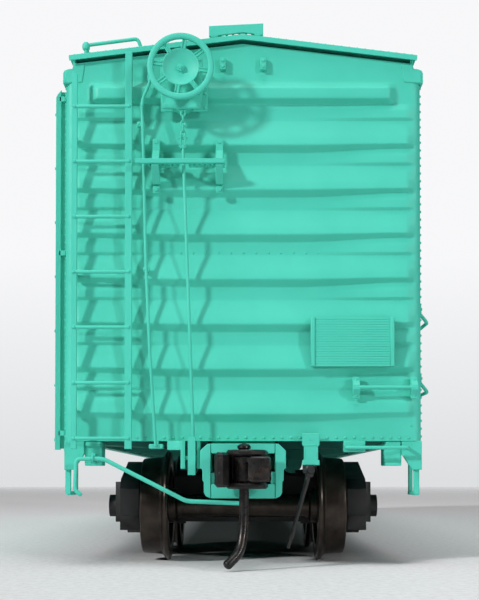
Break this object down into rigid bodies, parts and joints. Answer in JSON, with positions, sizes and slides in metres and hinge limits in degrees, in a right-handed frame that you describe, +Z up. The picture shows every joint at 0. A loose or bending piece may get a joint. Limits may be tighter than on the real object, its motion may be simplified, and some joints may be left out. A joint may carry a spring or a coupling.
{
  "type": "model railroad boxcar",
  "caption": "Scale model of a steel railroad boxcar with corrugated ends, peaked roof, sliding side doors, end brake gear, knuckle couplers and swivelling trucks with turning wheels.",
  "frame": {"origin": "on the floor under the middle of the car, between the wheels", "axes": "+Z up, -Y towards the brake end, +X to the right of someone who faces the brake end"},
  "size_m": [0.0358, 0.1568, 0.051],
  "materials": {
    "green_paint": "satin mint green paint over moulded plastic",
    "truck_plastic": "matte black moulded plastic",
    "wheel_metal": "turned metal, chemically blackened to a dark brown",
    "coupler_metal": "blackened die-cast metal, slightly rough",
    "hose_plastic": "black moulded plastic",
    "weight_steel": "plain sheet steel"
  },
  "bodies": {
    "carbody": {"side_left": "green_paint", "side_right": "green_paint", "end_brake": "green_paint", "end_plain": "green_paint", "roof": "green_paint", "running_board": "green_paint", "floor": "green_paint", "center_sill": "green_paint", "body_bolsters": "green_paint", "crossbearers": "green_paint", "weight_plate": "weight_steel", "door_tracks_left": "green_paint", "door_tracks_right": "green_paint", "side_ladders": "green_paint", "end_ladders": "green_paint", "side_grabs": "green_paint", "end_grabs": "green_paint", "roof_grabs": "green_paint", "brake_wheel": "green_paint", "brake_housing": "green_paint", "brake_chain": "green_paint", "brake_rod": "green_paint", "bell_crank": "green_paint", "retainer_pipe": "green_paint", "brake_step": "green_paint", "tack_boards": "green_paint", "corner_irons": "green_paint", "stirrup_steps": "green_paint", "cut_levers": "green_paint", "air_hoses": "hose_plastic", "hose_brackets": "green_paint", "coupler_box_brake": "green_paint", "coupler_box_plain": "green_paint", "air_reservoir": "green_paint", "brake_cylinder": "green_paint", "control_valve": "green_paint", "train_pipe": "green_paint"},
    "truck_brake": {"truck_bolster_brake": "truck_plastic", "sideframe_brake_left": "truck_plastic", "sideframe_brake_right": "truck_plastic"},
    "truck_plain": {"truck_bolster_plain": "truck_plastic", "sideframe_plain_left": "truck_plastic", "sideframe_plain_right": "truck_plastic"},
    "door_left_leaf": {"door_left": "green_paint"},
    "door_right_leaf": {"door_right": "green_paint"},
    "coupler_head_brake": {"coupler_brake": "coupler_metal"},
    "coupler_head_plain": {"coupler_plain": "coupler_metal"},
    "knuckle_jaw_brake": {"knuckle_brake": "coupler_metal"},
    "knuckle_jaw_plain": {"knuckle_plain": "coupler_metal"},
    "axle_1": {"wheelset_1": "wheel_metal"},
    "axle_2": {"wheelset_2": "wheel_metal"},
    "axle_3": {"wheelset_3": "wheel_metal"},
    "axle_4": {"wheelset_4": "wheel_metal"}
  },
  "joints": [
    {"name": "door_left_slide", "type": "slide", "parent": "carbody", "child": "door_left_leaf", "axis": [0, -1, 0], "range_m": [0, 0.0209]},
    {"name": "door_right_slide", "type": "slide", "parent": "carbody", "child": "door_right_leaf", "axis": [0, 1, 0], "range_m": [0, 0.0209]},
    {"name": "truck_brake_swivel", "type": "hinge", "parent": "carbody", "child": "truck_brake", "pos_m": [0, -0.0537, 0.0088], "axis": [0, 0, 1], "range_deg": [-10, 10]},
    {"name": "truck_plain_swivel", "type": "hinge", "parent": "carbody", "child": "truck_plain", "pos_m": [0, 0.0537, 0.0088], "axis": [0, 0, 1], "range_deg": [-10, 10]},
    {"name": "wheel_spin_1", "type": "hinge", "parent": "truck_brake", "child": "axle_1", "pos_m": [0, -0.06333, 0.00545], "axis": [1, 0, 0], "continuous": true},
    {"name": "wheel_spin_2", "type": "hinge", "parent": "truck_brake", "child": "axle_2", "pos_m": [0, -0.04408, 0.00545], "axis": [1, 0, 0], "continuous": true},
    {"name": "wheel_spin_3", "type": "hinge", "parent": "truck_plain", "child": "axle_3", "pos_m": [0, 0.04408, 0.00545], "axis": [1, 0, 0], "continuous": true},
    {"name": "wheel_spin_4", "type": "hinge", "parent": "truck_plain", "child": "axle_4", "pos_m": [0, 0.06333, 0.00545], "axis": [1, 0, 0], "continuous": true},
    {"name": "coupler_brake_swing", "type": "hinge", "parent": "carbody", "child": "coupler_head_brake", "pos_m": [0, -0.068, 0.009], "axis": [0, 0, 1], "range_deg": [-10, 10], "stiffness_Nm_per_rad": 0.0004},
    {"name": "knuckle_brake_open", "type": "hinge", "parent": "coupler_head_brake", "child": "knuckle_jaw_brake", "pos_m": [0.0001, -0.076, 0.009], "axis": [0, 0, 1], "range_deg": [0, 20], "stiffness_Nm_per_rad": 0.00002},
    {"name": "coupler_plain_swing", "type": "hinge", "parent": "carbody", "child": "coupler_head_plain", "pos_m": [0, 0.068, 0.009], "axis": [0, 0, 1], "range_deg": [-10, 10], "stiffness_Nm_per_rad": 0.0004},
    {"name": "knuckle_plain_open", "type": "hinge", "parent": "coupler_head_plain", "child": "knuckle_jaw_plain", "pos_m": [-0.0001, 0.076, 0.009], "axis": [0, 0, 1], "range_deg": [0, 20], "stiffness_Nm_per_rad": 0.00002}
  ]
}
